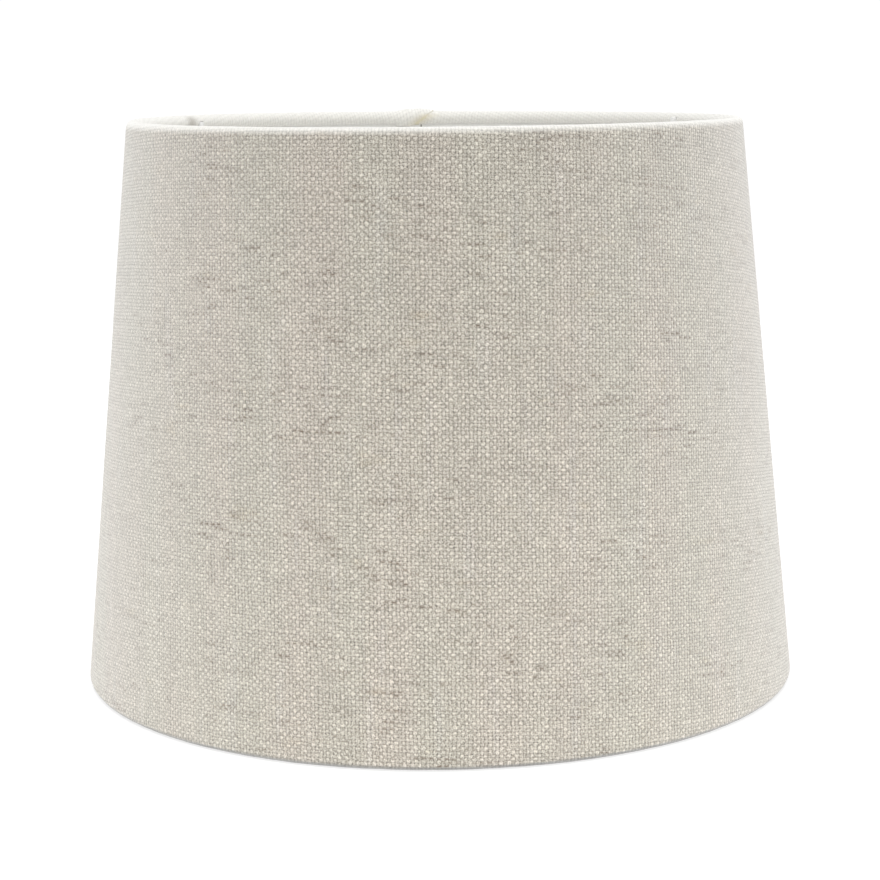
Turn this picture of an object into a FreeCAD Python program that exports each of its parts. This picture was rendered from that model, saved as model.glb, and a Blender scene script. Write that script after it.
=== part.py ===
import FreeCAD
import Part
import Sketcher
import math
import os

# Tapered drum lamp shade on a three-arm spider.
#
# Linen is laminated to a stiff backing sheet, curved into a cone, lapped and taped at the seam, and rolled
# over a wire ring at each rim. Three bent wire arms, welded to the top ring, carry the fitter ring that the
# lamp holder passes through.
#
# The shade stands on its bottom rim, with the origin at that rim's centre and +Z up its axis. +X is azimuth
# 0, and the lap's free edge is at azimuth 90. Lengths are in millimetres and angles in degrees.

SIZES = [
    ("BaseDiameter", 250, "over the cover, at the bottom rim"),
    ("TopDiameter", 212, "over the cover, at the top rim"),
    ("ShadeHeight", 194, "from rim to rim, outside"),
    ("FabricThickness", 0.6, "linen of the cover"),
    ("BackingThickness", 0.4, "stiff sheet behind the linen"),
    ("RingWire", 2.6, "diameter of the wire of both rim rings"),
    ("RingPlay", 0.05, "between a ring wire and what wraps it"),
    ("RollOpening", 75, "from straight out down to the rolled linen's cut end, seen from a roll's centre"),
    ("SeamAngle", 90, "azimuth of the lap's free edge"),
    ("LapWidth", 12, "overlap of the linen at the seam, at mid height"),
    ("TapeWidth", 9, "double-sided tape in the lap, at mid height"),
    ("TapeThickness", 0.15, "double-sided tape in the lap"),
    ("ButtGap", 0.5, "between the ends of the backing sheet, at mid height"),
    ("FitterBore", 42, "hole for the skirt of an E27 lamp holder"),
    ("FitterOuter", 54, "outside diameter of the fitter ring"),
    ("FitterThickness", 2, "plate of the fitter ring"),
    ("FitterRounding", 0.3, "on the fitter ring's outer edges"),
    ("FitterDrop", 28, "from the top rim down to the fitter ring's upper face"),
    ("ArmWire", 2.4, "diameter of the spider's arms"),
    ("ArmCount", 3, "arms of the spider"),
    ("ArmAngle", 29, "azimuth of the first arm"),
    ("ArmBend", 8, "radius of an arm's bend, at its centreline"),
    ("ArmRise", 0.6, "from the top ring's centre up to the arm's end"),
    ("WeldGap", 0.05, "between an arm and the ring it is welded to"),
    ("RingWeld", 1.6, "radius of the weld bead at the top ring"),
    ("RingWeldDrop", 0.7, "from the top ring's centre down to that bead's centre"),
    ("FitterWeld", 2, "radius of the weld bead at the fitter ring"),
    ("NotchWidth", 5.5, "slit in the rolled linen at each arm"),
    ("NotchRise", 1.1, "from the top ring's centre up to the slit's end"),
    ("NotchRunout", 1, "past the roll's inside and underside, so that the slit is open"),
    ("NotchReach", 0.1, "past the roll's cut end"),
]

# Sizes that follow from the driving ones, as expressions. A roll is centred midway between the ring wire
# and the outer face of the backing, so that it wraps both.
ROLL_INSIDE = "(Sizes.RingWire / 2 + Sizes.BackingThickness / 2 + Sizes.RingPlay)"
ROLL_OUTSIDE = f"({ROLL_INSIDE} + Sizes.FabricThickness)"
TOP_R = f"(Sizes.TopDiameter / 2 - {ROLL_OUTSIDE})"
TOP_Z = f"(Sizes.ShadeHeight - {ROLL_OUTSIDE})"
BASE_R = f"(Sizes.BaseDiameter / 2 - {ROLL_OUTSIDE})"
BASE_Z = ROLL_OUTSIDE
TAPER = f"atan(({BASE_R} - {TOP_R}) / ({TOP_Z} - {BASE_Z}))"
ROLL_END = "(360 - Sizes.RollOpening)"
RING_INSET = "(Sizes.BackingThickness / 2)"
TOP_RING_R = f"({TOP_R} - {RING_INSET} * cos({TAPER}))"
TOP_RING_Z = f"({TOP_Z} - {RING_INSET} * sin({TAPER}))"
BASE_RING_R = f"({BASE_R} - {RING_INSET} * cos({TAPER}))"
BASE_RING_Z = f"({BASE_Z} - {RING_INSET} * sin({TAPER}))"
MEAN_R = "((Sizes.BaseDiameter + Sizes.TopDiameter) / 4)"
DEGREES_PER_MM = f"(180 / pi / {MEAN_R})"
FITTER_TOP = "(Sizes.ShadeHeight - Sizes.FitterDrop)"
FITTER_MIDDLE = f"({FITTER_TOP} - Sizes.FitterThickness / 2)"
LEG_R = f"({TOP_RING_R} - Sizes.RingWire / 2 - Sizes.ArmWire / 2 - Sizes.WeldGap)"
LEG_TOP = f"({TOP_RING_Z} + Sizes.ArmRise)"
ARM_END = "(Sizes.FitterOuter / 2 + Sizes.WeldGap)"
LAP_OUTSIDE = f"({ROLL_OUTSIDE} + Sizes.TapeThickness + Sizes.FabricThickness)"

ORIGIN, START, END, CENTRE = -1, 1, 2, 3


def make_sheet(doc):
    """The sheet of driving dimensions: one row each, with the name as its alias."""
    sheet = doc.addObject("Spreadsheet::Sheet", "Sizes")
    for row, (name, size, note) in enumerate(SIZES, start=1):
        sheet.set(f"A{row}", name)
        sheet.set(f"B{row}", str(size))
        sheet.set(f"C{row}", note)
        sheet.setAlias(f"B{row}", name)
    doc.recompute()
    return sheet


def number(expression):
    """The present value of an expression on the sheet."""
    found = FreeCAD.ActiveDocument.Sizes.evalExpression(expression)
    return float(getattr(found, "Value", found))


def make_body(doc, label):
    body = doc.addObject("PartDesign::Body", "Body_" + label)
    body.Label = label
    return body


def upright_sketch(body, name, azimuth="0"):
    """A sketch whose X is the distance from the shade's axis and whose Y is height, at that azimuth."""
    plane = next(o for o in body.Origin.OriginFeatures if o.Role == "XZ_Plane")
    sketch = body.newObject("Sketcher::SketchObject", name)
    sketch.AttachmentSupport = [(plane, "")]
    sketch.MapMode = "FlatFace"
    if azimuth != "0":
        turn = FreeCAD.Rotation(FreeCAD.Vector(0, 1, 0), number(azimuth))
        sketch.AttachmentOffset = FreeCAD.Placement(FreeCAD.Vector(), turn)
        sketch.setExpression("AttachmentOffset.Rotation.Angle", azimuth)
    return sketch


def level_sketch(body, name, height, azimuth="0"):
    """A horizontal sketch at that height, with its X turned to that azimuth."""
    plane = next(o for o in body.Origin.OriginFeatures if o.Role == "XY_Plane")
    sketch = body.newObject("Sketcher::SketchObject", name)
    sketch.AttachmentSupport = [(plane, "")]
    sketch.MapMode = "FlatFace"
    turn = FreeCAD.Rotation(FreeCAD.Vector(0, 0, 1), number(azimuth))
    sketch.AttachmentOffset = FreeCAD.Placement(FreeCAD.Vector(0, 0, number(height)), turn)
    sketch.setExpression("AttachmentOffset.Base.z", height)
    if azimuth != "0":
        sketch.setExpression("AttachmentOffset.Rotation.Angle", azimuth)
    return sketch


def constrain(sketch, kind, *items, size=None):
    """Adds a constraint. A size is an expression, and the constraint's last value until it is worked out."""
    values = [number(size)] if size else []
    if kind == "Angle" and size:
        values = [math.radians(values[0])]
    index = sketch.addConstraint(Sketcher.Constraint(kind, *items, *values))
    if size:
        name = f"Size{index}"
        sketch.renameConstraint(index, name)
        sketch.setExpression("Constraints." + name, size)


def place_point(sketch, item, part, across, up):
    """Holds a point at those distances from the sketch's origin, or on its axis where one is 0."""
    for kind, size in (("DistanceX", across), ("DistanceY", up)):
        constrain(sketch, kind, ORIGIN, START, item, part, size=size)


def line(sketch, ends, construction=False):
    """A line between two (across, up) points, in numbers."""
    a, b = (FreeCAD.Vector(x, y, 0) for x, y in ends)
    return sketch.addGeometry(Part.LineSegment(a, b), construction)


def arc(sketch, centre, radius, start, end):
    """An arc from one angle to another, in degrees, anticlockwise."""
    circle = Part.Circle(FreeCAD.Vector(*centre, 0), FreeCAD.Vector(0, 0, 1), radius)
    shape = Part.ArcOfCircle(circle, math.radians(start), math.radians(end))
    return sketch.addGeometry(shape, False)


def polar(centre, radius, angle):
    turn = math.radians(angle)
    return centre[0] + radius * math.cos(turn), centre[1] + radius * math.sin(turn)


def cover_section(sketch):
    """The cover's section: a leaning wall that ends in a roll over each ring wire.

    Each roll is a pair of arcs about one centre, the walls are tangent to both, and a radial line closes
    the cut end of the linen.
    """
    inside, outside = number(ROLL_INSIDE), number(ROLL_OUTSIDE)
    lean, turned = number(TAPER), number(ROLL_END)
    top = (number(TOP_R), number(TOP_Z))
    base = (number(BASE_R), number(BASE_Z))

    rolls = []
    for centre, first, last in ((top, lean, turned), (base, -turned, lean)):
        rolls.append([arc(sketch, centre, r, first, last) for r in (inside, outside)])
    (top_in, top_out), (base_in, base_out) = rolls
    wall_in = line(sketch, (polar(base, inside, lean), polar(top, inside, lean)))
    wall_out = line(sketch, (polar(base, outside, lean), polar(top, outside, lean)))
    top_end = line(sketch, (polar(top, outside, turned), polar(top, inside, turned)))
    base_end = line(sketch, (polar(base, inside, -turned), polar(base, outside, -turned)))

    for roll_in, roll_out, across, up in (
        (top_in, top_out, TOP_R, TOP_Z),
        (base_in, base_out, BASE_R, BASE_Z),
    ):
        constrain(sketch, "Coincident", roll_in, CENTRE, roll_out, CENTRE)
        place_point(sketch, roll_out, CENTRE, across, up)
        constrain(sketch, "Radius", roll_in, size=ROLL_INSIDE)
        constrain(sketch, "Radius", roll_out, size=ROLL_OUTSIDE)
    for wall, base_roll, top_roll in (
        (wall_in, base_in, top_in),
        (wall_out, base_out, top_out),
    ):
        constrain(sketch, "Tangent", wall, START, base_roll, END)
        constrain(sketch, "Tangent", wall, END, top_roll, START)
    constrain(sketch, "Coincident", top_end, START, top_out, END)
    constrain(sketch, "Coincident", top_end, END, top_in, END)
    constrain(sketch, "Coincident", base_end, START, base_in, START)
    constrain(sketch, "Coincident", base_end, END, base_out, START)
    constrain(sketch, "PointOnObject", top_out, CENTRE, top_end)
    constrain(sketch, "PointOnObject", base_out, CENTRE, base_end)
    constrain(sketch, "Angle", top_end, size=f"{ROLL_END} - 180")
    constrain(sketch, "Angle", base_end, size="Sizes.RollOpening")


def wall_layer(sketch, inside, outside):
    """The section of a layer along the wall, between two distances out from the line of the rolls' centres.

    Its ends are square to the wall, level with those centres.
    """
    lean = number(TAPER)
    top = (number(TOP_R), number(TOP_Z))
    base = (number(BASE_R), number(BASE_Z))
    near, far = number(inside), number(outside)
    corners = [
        polar(base, near, lean),
        polar(top, near, lean),
        polar(top, far, lean),
        polar(base, far, lean),
    ]

    spine = line(sketch, (base, top), construction=True)
    sides = [line(sketch, (corners[i], corners[(i + 1) % 4])) for i in range(4)]
    inner, upper, outer, lower = sides
    place_point(sketch, spine, START, BASE_R, BASE_Z)
    place_point(sketch, spine, END, TOP_R, TOP_Z)
    for i in range(4):
        constrain(sketch, "Coincident", sides[i], END, sides[(i + 1) % 4], START)
    constrain(sketch, "Parallel", inner, spine)
    constrain(sketch, "Parallel", outer, spine)
    constrain(sketch, "Perpendicular", upper, spine)
    constrain(sketch, "Perpendicular", lower, spine)
    constrain(sketch, "PointOnObject", spine, END, upper)
    constrain(sketch, "PointOnObject", spine, START, lower)
    constrain(sketch, "Distance", spine, END, inner, size=inside)
    constrain(sketch, "Distance", spine, END, outer, size=outside)


def turn_about_axis(body, kind, name, sketch, angle="360"):
    """A Revolution or Groove of a sketch about the shade's axis, towards greater azimuths."""
    feature = body.newObject("PartDesign::" + kind, name)
    feature.Profile = sketch
    feature.ReferenceAxis = (sketch, ["V_Axis"])
    feature.Angle = number(angle)
    if angle != "360":
        feature.setExpression("Angle", angle)
    sketch.Visibility = False
    FreeCAD.ActiveDocument.recompute()
    return feature


def check_cut(body, feature, before):
    """Stops the build if a cut took nothing away, or took the body with it."""
    after = feature.Shape.Volume
    if not 0 < after < before:
        raise ValueError(f"{feature.Name} of {body.Label} left {after} of {before} mm3")


def make_fabric_cover(doc):
    """The linen: the rolled wall, the free end lapped over it, a slot for the tape and a slit at each arm."""
    body = make_body(doc, "fabric_cover")
    section = upright_sketch(body, "CoverSection")
    cover_section(section)
    turn_about_axis(body, "Revolution", "CoverWall", section)

    # The lap starts half way into the wall, so that the two fuse.
    lap = upright_sketch(body, "LapSection", "Sizes.SeamAngle")
    wall_layer(lap, f"({ROLL_OUTSIDE} - Sizes.FabricThickness / 2)", LAP_OUTSIDE)
    lap_angle = f"Sizes.LapWidth * {DEGREES_PER_MM}"
    lapped = turn_about_axis(body, "Revolution", "Lap", lap, lap_angle)

    slot = upright_sketch(body, "TapeSlotSection", "Sizes.SeamAngle")
    wall_layer(slot, ROLL_OUTSIDE, f"({ROLL_OUTSIDE} + Sizes.TapeThickness)")
    before = lapped.Shape.Volume
    tape_angle = f"Sizes.TapeWidth * {DEGREES_PER_MM}"
    slotted = turn_about_axis(body, "Groove", "TapeSlot", slot, tape_angle)
    check_cut(body, slotted, before)

    notch = level_sketch(
        body,
        "NotchOutline",
        f"({TOP_RING_Z} - {ROLL_OUTSIDE} - Sizes.NotchRunout)",
        "Sizes.ArmAngle",
    )
    near = f"({TOP_R} - {ROLL_OUTSIDE} - Sizes.NotchRunout)"
    far = f"({TOP_R} + {ROLL_OUTSIDE} * cos(Sizes.RollOpening) + Sizes.NotchReach)"
    half = "(Sizes.NotchWidth / 2)"
    across = (number(near), number(far), number(far), number(near))
    up = (-number(half), -number(half), number(half), number(half))
    corners = list(zip(across, up))
    sides = [line(notch, (corners[i], corners[(i + 1) % 4])) for i in range(4)]
    for i in range(4):
        constrain(notch, "Coincident", sides[i], END, sides[(i + 1) % 4], START)
        constrain(notch, "Horizontal" if i % 2 == 0 else "Vertical", sides[i])
    place_point(notch, sides[2], START, far, half)
    constrain(notch, "DistanceX", ORIGIN, START, sides[0], START, size=near)
    constrain(notch, "DistanceY", sides[0], START, ORIGIN, START, size=half)

    before = slotted.Shape.Volume
    pocket = body.newObject("PartDesign::Pocket", "Notch")
    pocket.Profile = notch
    pocket.Type = "Length"
    pocket.Reversed = True
    pocket.setExpression("Length", f"{ROLL_OUTSIDE} + Sizes.NotchRunout + Sizes.NotchRise")
    doc.recompute()
    check_cut(body, pocket, before)
    one_notch = before - pocket.Shape.Volume

    pattern = body.newObject("PartDesign::PolarPattern", "Notches")
    pattern.Originals = [pocket]
    pattern.Axis = (notch, ["N_Axis"])
    pattern.Angle = 360
    pattern.setExpression("Occurrences", "Sizes.ArmCount")
    body.Tip = pattern
    doc.recompute()
    taken = before - pattern.Shape.Volume
    if round(taken / one_notch) != number("Sizes.ArmCount"):
        raise ValueError(f"the notches took {taken} mm3, and one takes {one_notch}")
    return body


def make_backing_sheet(doc):
    """The stiff sheet that the linen is laminated to, its two ends butted under the lap."""
    body = make_body(doc, "backing_sheet")
    gap = f"(Sizes.ButtGap * {DEGREES_PER_MM})"
    start = f"(Sizes.SeamAngle + Sizes.LapWidth / 2 * {DEGREES_PER_MM})"
    section = upright_sketch(body, "BackingSection", start)
    wall_layer(section, f"({ROLL_INSIDE} - Sizes.BackingThickness)", ROLL_INSIDE)
    turn_about_axis(body, "Revolution", "BackingWall", section, f"360 - {gap}")
    return body


def make_seam_tape(doc):
    """The double-sided tape that holds the lap down."""
    body = make_body(doc, "seam_tape")
    section = upright_sketch(body, "TapeSection", "Sizes.SeamAngle")
    wall_layer(section, ROLL_OUTSIDE, f"({ROLL_OUTSIDE} + Sizes.TapeThickness)")
    turn_about_axis(body, "Revolution", "Tape", section, f"Sizes.TapeWidth * {DEGREES_PER_MM}")
    return body


def make_rim_ring(doc, label, radius, height):
    """A ring of round wire, one in each rim."""
    ring = doc.addObject("Part::Torus", "Torus_" + label)
    ring.Label = label
    ring.setExpression("Radius1", radius)
    ring.setExpression("Radius2", "Sizes.RingWire / 2")
    ring.setExpression("Placement.Base.z", height)
    return ring


def make_spider_arm(doc, index):
    """One arm: down from the inside of the top ring, round a bend and level to the fitter ring's edge.

    It is drawn at azimuth 0 and turned to its own azimuth by its placement.
    """
    body = make_body(doc, f"spider_arm_{index + 1}")
    leg_r, leg_top, bend = number(LEG_R), number(LEG_TOP), number("Sizes.ArmBend")
    arm_z, arm_end = number(FITTER_MIDDLE), number(ARM_END)

    path = upright_sketch(body, f"ArmPath{index}")
    leg = line(path, ((leg_r, leg_top), (leg_r, arm_z + bend)))
    turn = arc(path, (leg_r - bend, arm_z + bend), bend, 270, 360)
    run = line(path, ((leg_r - bend, arm_z), (arm_end, arm_z)))
    constrain(path, "Vertical", leg)
    constrain(path, "Horizontal", run)
    constrain(path, "Tangent", leg, END, turn, END)
    constrain(path, "Tangent", run, START, turn, START)
    constrain(path, "Radius", turn, size="Sizes.ArmBend")
    place_point(path, leg, START, LEG_R, LEG_TOP)
    place_point(path, run, END, ARM_END, FITTER_MIDDLE)

    section = level_sketch(body, f"ArmSection{index}", LEG_TOP)
    circle = Part.Circle(FreeCAD.Vector(leg_r, 0, 0), FreeCAD.Vector(0, 0, 1), number("Sizes.ArmWire / 2"))
    wire = section.addGeometry(circle, False)
    constrain(section, "Radius", wire, size="Sizes.ArmWire / 2")
    constrain(section, "PointOnObject", wire, CENTRE, ORIGIN)
    constrain(section, "DistanceX", ORIGIN, START, wire, CENTRE, size=LEG_R)

    pipe = body.newObject("PartDesign::AdditivePipe", f"Arm{index}")
    pipe.Profile = section
    pipe.Spine = path
    azimuth = f"Sizes.ArmAngle + {index} * 360 / Sizes.ArmCount"
    body.Placement.Rotation = FreeCAD.Rotation(FreeCAD.Vector(0, 0, 1), number(azimuth))
    body.setExpression("Placement.Rotation.Angle", azimuth)
    doc.recompute()
    return body


def make_fitter_ring(doc):
    """The flat ring that the lamp holder's skirt passes through, rounded on its outer edges."""
    body = make_body(doc, "fitter_ring")
    outline = level_sketch(body, "FitterOutline", f"({FITTER_TOP} - Sizes.FitterThickness)")
    for size in ("Sizes.FitterOuter / 2", "Sizes.FitterBore / 2"):
        circle = Part.Circle(FreeCAD.Vector(), FreeCAD.Vector(0, 0, 1), number(size))
        edge = outline.addGeometry(circle, False)
        constrain(outline, "Coincident", edge, CENTRE, ORIGIN, START)
        constrain(outline, "Radius", edge, size=size)
    plate = body.newObject("PartDesign::Pad", "FitterPlate")
    plate.Profile = outline
    plate.setExpression("Length", "Sizes.FitterThickness")
    doc.recompute()

    rim = [
        f"Edge{i}"
        for i, edge in enumerate(plate.Shape.Edges, start=1)
        if isinstance(edge.Curve, Part.Circle) and edge.Curve.Radius > number("Sizes.FitterBore / 2 + 0.1")
    ]
    rounding = body.newObject("PartDesign::Fillet", "FitterRounding")
    rounding.Base = (plate, rim)
    rounding.setExpression("Radius", "Sizes.FitterRounding")
    doc.recompute()
    return body


def bead(radius, spot, joined):
    """Weld metal about a spot, with what it joins cut out of it.

    The ball's own axis is slanted, so that its seam and poles stay off the faces that cut it.
    """
    ball = Part.makeSphere(radius, spot, FreeCAD.Vector(1, 2, 2))
    solids = ball.cut(joined).Solids
    return max(solids, key=lambda solid: solid.Volume)


def make_weld_beads(doc, arms, top_ring):
    """The weld metal at both ends of every arm, shaped by what it joins.

    The bead at the fitter ring stays outside its edge, so that the ring's two faces are flat for the lamp
    holder.
    """
    fitter_edge = Part.makeCylinder(
        number("Sizes.FitterOuter / 2"),
        number("4 * Sizes.FitterWeld"),
        FreeCAD.Vector(0, 0, number(f"{FITTER_MIDDLE} - 2 * Sizes.FitterWeld")),
    )
    ring_spot = FreeCAD.Vector(number(f"{TOP_RING_R} - Sizes.RingWire / 2"), 0, number(TOP_RING_Z))
    ring_spot.z -= number("Sizes.RingWeldDrop")
    fitter_spot = FreeCAD.Vector(number("Sizes.FitterOuter / 2"), 0, number(FITTER_MIDDLE))

    wire = arms[0].Tip.Shape
    at_ring = bead(number("Sizes.RingWeld"), ring_spot, [wire, top_ring.Shape])
    at_fitter = bead(number("Sizes.FitterWeld"), fitter_spot, [wire, fitter_edge])
    group = doc.addObject("Part::Feature", "WeldBeads")
    group.Label = "weld_beads"
    turned = [one.transformed(arm.Placement.Matrix) for arm in arms for one in (at_ring, at_fitter)]
    group.Shape = Part.makeCompound(turned)
    return group


def check_document(doc, parts):
    """Stops the build if any object failed, or a part has no valid solid."""
    for item in doc.Objects:
        if {"Invalid", "Error"} & set(item.State):
            raise ValueError(f"{item.Name} is {item.State}")
    for part in parts:
        shape = part.Shape
        if shape.isNull() or not shape.isValid() or not shape.Solids:
            raise ValueError(f"{part.Label} has no valid solid")


def main():
    doc = FreeCAD.newDocument("LampShade")
    make_sheet(doc)
    cover = make_fabric_cover(doc)
    backing = make_backing_sheet(doc)
    tape = make_seam_tape(doc)
    top_ring = make_rim_ring(doc, "top_ring", TOP_RING_R, TOP_RING_Z)
    bottom_ring = make_rim_ring(doc, "bottom_ring", BASE_RING_R, BASE_RING_Z)
    arms = [make_spider_arm(doc, i) for i in range(round(number("Sizes.ArmCount")))]
    fitter = make_fitter_ring(doc)
    doc.recompute()
    welds = make_weld_beads(doc, arms, top_ring)
    doc.recompute()

    parts = [cover, backing, tape, top_ring, bottom_ring, *arms, fitter, welds]
    check_document(doc, parts)
    os.makedirs("parts", exist_ok=True)
    for part in parts:
        part.Shape.exportStep(f"parts/{part.Label}.step")
        print(f"{part.Label}: {len(part.Shape.Solids)} solid, {part.Shape.Volume:.1f} mm3")


main()
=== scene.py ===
# %% [markdown]
# # A linen lamp shade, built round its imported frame
# The shade is a real assembly: linen glued to a stiff sheet, rolled into a cone, lapped at the back and
# tucked over a wire ring at each rim. Three bent wires carry a flat ring for the lamp holder.
# Every length here is in metres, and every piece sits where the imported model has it: the shade stands on
# its bottom rim, with the seam at the back, at azimuth 90 degrees.

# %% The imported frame
from math import atan2, cos, degrees, hypot, pi, radians, sin

import bpy
import numpy as np
from mathutils import Matrix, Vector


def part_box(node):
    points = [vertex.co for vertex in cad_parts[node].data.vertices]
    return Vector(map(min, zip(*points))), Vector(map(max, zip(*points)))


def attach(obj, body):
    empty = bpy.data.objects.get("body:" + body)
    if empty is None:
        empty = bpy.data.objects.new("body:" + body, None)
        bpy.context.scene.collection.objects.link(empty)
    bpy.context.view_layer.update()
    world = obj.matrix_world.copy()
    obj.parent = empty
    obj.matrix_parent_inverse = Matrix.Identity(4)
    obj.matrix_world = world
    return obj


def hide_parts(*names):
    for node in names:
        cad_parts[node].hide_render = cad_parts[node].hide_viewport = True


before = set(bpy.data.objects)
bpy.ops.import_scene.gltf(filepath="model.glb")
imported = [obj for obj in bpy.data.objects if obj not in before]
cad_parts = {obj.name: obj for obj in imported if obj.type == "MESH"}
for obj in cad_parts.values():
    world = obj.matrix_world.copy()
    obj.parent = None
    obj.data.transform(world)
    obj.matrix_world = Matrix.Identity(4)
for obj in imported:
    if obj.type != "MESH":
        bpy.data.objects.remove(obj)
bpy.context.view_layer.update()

scene = bpy.context.scene
print("packed pieces:", sorted(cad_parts))

# %% [markdown]
# ## Sizes
# The rings, the arms and the fitter ring give their own sizes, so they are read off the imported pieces.
# Only what a box can't show is written down: the thicknesses of linen, sheet, tape and arm wire, the play
# round a ring's wire, the bend of an arm and the arms' azimuths.

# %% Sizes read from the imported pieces
MM = 0.001
LINEN = 0.6 * MM
LINER = 0.4 * MM
TAPE = 0.15 * MM
RING_PLAY = 0.05 * MM
ARM_WIRE = 2.4 * MM
ARM_BEND = 8 * MM
WELD_GAP = 0.05 * MM
ARMS = [29.0, 149.0, 269.0]


def ring_sizes(node):
    """The radius, the height of the middle and the thickness of a ring lying flat."""
    low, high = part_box(node)
    thickness = high[2] - low[2]
    return high[0] - thickness / 2, (low[2] + high[2]) / 2, thickness


top_ring_radius, top_ring_height, ring_wire = ring_sizes("top_ring")
base_ring_radius, base_ring_height, _ = ring_sizes("bottom_ring")

# The middle of the linen stays this far from a roll's centre, which lies midway between wire and sheet.
roll = ring_wire / 2 + LINER / 2 + RING_PLAY + LINEN / 2
lean = atan2(base_ring_radius - top_ring_radius, top_ring_height - base_ring_height)
inset = (LINER / 2 * cos(lean), LINER / 2 * sin(lean))
top_roll = (top_ring_radius + inset[0], top_ring_height + inset[1])
base_roll = (base_ring_radius + inset[0], base_ring_height + inset[1])
wall = hypot(base_roll[0] - top_roll[0], top_roll[1] - base_roll[1])
print(f"wall {wall / MM:.1f} mm long, leaning {degrees(lean):.2f} degrees")
print(f"rolls {roll / MM:.2f} mm in radius")

# %% [markdown]
# ## Arithmetic in node trees
# A node tree reads badly as a list of Math nodes. A small class lets a formula be written as a formula:
# each sum or product on a Value lays down one Math node and gives its output.

# %% Helpers for node trees
def plug(tree, source, socket):
    """Links a value or a socket to an input, or sets the input to a plain number."""
    source = getattr(source, "socket", source)
    if isinstance(source, bpy.types.NodeSocket):
        tree.links.new(source, socket)
    else:
        socket.default_value = source


def add(tree, kind, inputs=None, **settings):
    """A new node, with its settings and its inputs."""
    node = tree.nodes.new(kind)
    for name, value in settings.items():
        setattr(node, name, value)
    for key, value in (inputs or {}).items():
        plug(tree, value, node.inputs[key])
    return node


class Value:
    """A number inside a node tree: arithmetic on it adds Math nodes."""

    def __init__(self, tree, socket):
        self.tree = tree
        self.socket = socket

    def math(self, operation, *others):
        node = add(self.tree, "ShaderNodeMath", operation=operation)
        for part, socket in zip((self, *others), node.inputs):
            plug(self.tree, part, socket)
        return Value(self.tree, node.outputs[0])

    def __add__(self, other):
        return self.math("ADD", other)

    def __sub__(self, other):
        return self.math("SUBTRACT", other)

    def __rsub__(self, other):
        return self.math("MULTIPLY_ADD", -1.0, other)

    def __mul__(self, other):
        return self.math("MULTIPLY", other)

    def __truediv__(self, other):
        return self.math("DIVIDE", other)

    __radd__ = __add__
    __rmul__ = __mul__

    def at_least(self, other):
        return self.math("MAXIMUM", other)

    def between(self, low, high):
        """0 below low, 1 above high, and a smooth step from one to the other."""
        node = add(
            self.tree,
            "ShaderNodeMapRange",
            {"Value": self, "From Min": low, "From Max": high},
            interpolation_type="SMOOTHSTEP",
        )
        return Value(self.tree, node.outputs["Result"])


def place(tree, x, y, z=0.0):
    """A vector from three values."""
    return add(tree, "ShaderNodeCombineXYZ", {"X": x, "Y": y, "Z": z}).outputs[0]


def parts(tree, vector):
    """The three values of a vector."""
    split = add(tree, "ShaderNodeSeparateXYZ", {0: vector})
    return [Value(tree, socket) for socket in split.outputs]


# %% [markdown]
# ## One tree that wraps a flat pattern round the two rings
# A shade maker cuts a flat pattern and rolls it round the rings. A lathed profile would do for a plain
# cone, but not for a lap, slits and uneven edges. So each sheet starts as a flat pattern, where X is the
# azimuth, Y the length along the section and Z the height above the sheet's middle, and one Geometry
# Nodes tree rolls any such pattern onto the rings. The section follows one rule: its centre slides from
# the top roll's centre to the base roll's, and the sheet stays at a fixed distance from that centre, in a
# direction that only turns once it is past the wall.

# %% The wrapping tree
def new_tree(name, **inputs):
    """An empty Geometry Nodes tree with named inputs."""
    tree = bpy.data.node_groups.new(name, "GeometryNodeTree")
    tree.interface.new_socket("Geometry", in_out="OUTPUT", socket_type="NodeSocketGeometry")
    tree.interface.new_socket("Geometry", in_out="INPUT", socket_type="NodeSocketGeometry")
    for title, kind in inputs.items():
        kind = "NodeSocket" + kind
        tree.interface.new_socket(title.replace("_", " "), in_out="INPUT", socket_type=kind)
    return tree, tree.nodes.new("NodeGroupInput").outputs


def end_tree(tree, geometry, finish):
    """Real geometry with its material on it, as every tree ends."""
    real = add(tree, "GeometryNodeRealizeInstances", {"Geometry": geometry})
    coated = add(tree, "GeometryNodeSetMaterial", {"Geometry": real.outputs[0], "Material": finish})
    tree.links.new(coated.outputs[0], tree.nodes.new("NodeGroupOutput").inputs[0])


def make_wrapping_tree():
    sizes = ("Top_Radius", "Top_Height", "Base_Radius", "Base_Height", "Roll_Radius")
    tree, given = new_tree("wrap round the rings", **dict.fromkeys(sizes, "Float"), Finish="Material")
    top_r, top_z, base_r, base_z, distance = (Value(tree, given[name.replace("_", " ")]) for name in sizes)
    azimuth, along, height = parts(tree, add(tree, "GeometryNodeInputPosition").outputs[0])

    spread = base_r - top_r
    drop = top_z - base_z
    slant = (spread * spread + drop * drop).math("SQRT")
    before = (along * -1.0).at_least(0.0) / distance
    after = (along - slant).at_least(0.0) / distance
    direction = spread.math("ARCTAN2", drop) + before - after
    share = (along / slant).at_least(0.0).math("MINIMUM", 1.0)
    reach = distance + height
    radius = top_r + spread * share + reach * direction.math("COSINE")
    up = top_z - drop * share + reach * direction.math("SINE")

    rolled = place(tree, radius * azimuth.math("COSINE"), radius * azimuth.math("SINE"), up)
    moved = add(tree, "GeometryNodeSetPosition", {"Geometry": given["Geometry"], "Position": rolled})
    end_tree(tree, moved.outputs[0], given["Finish"])
    return tree


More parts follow.
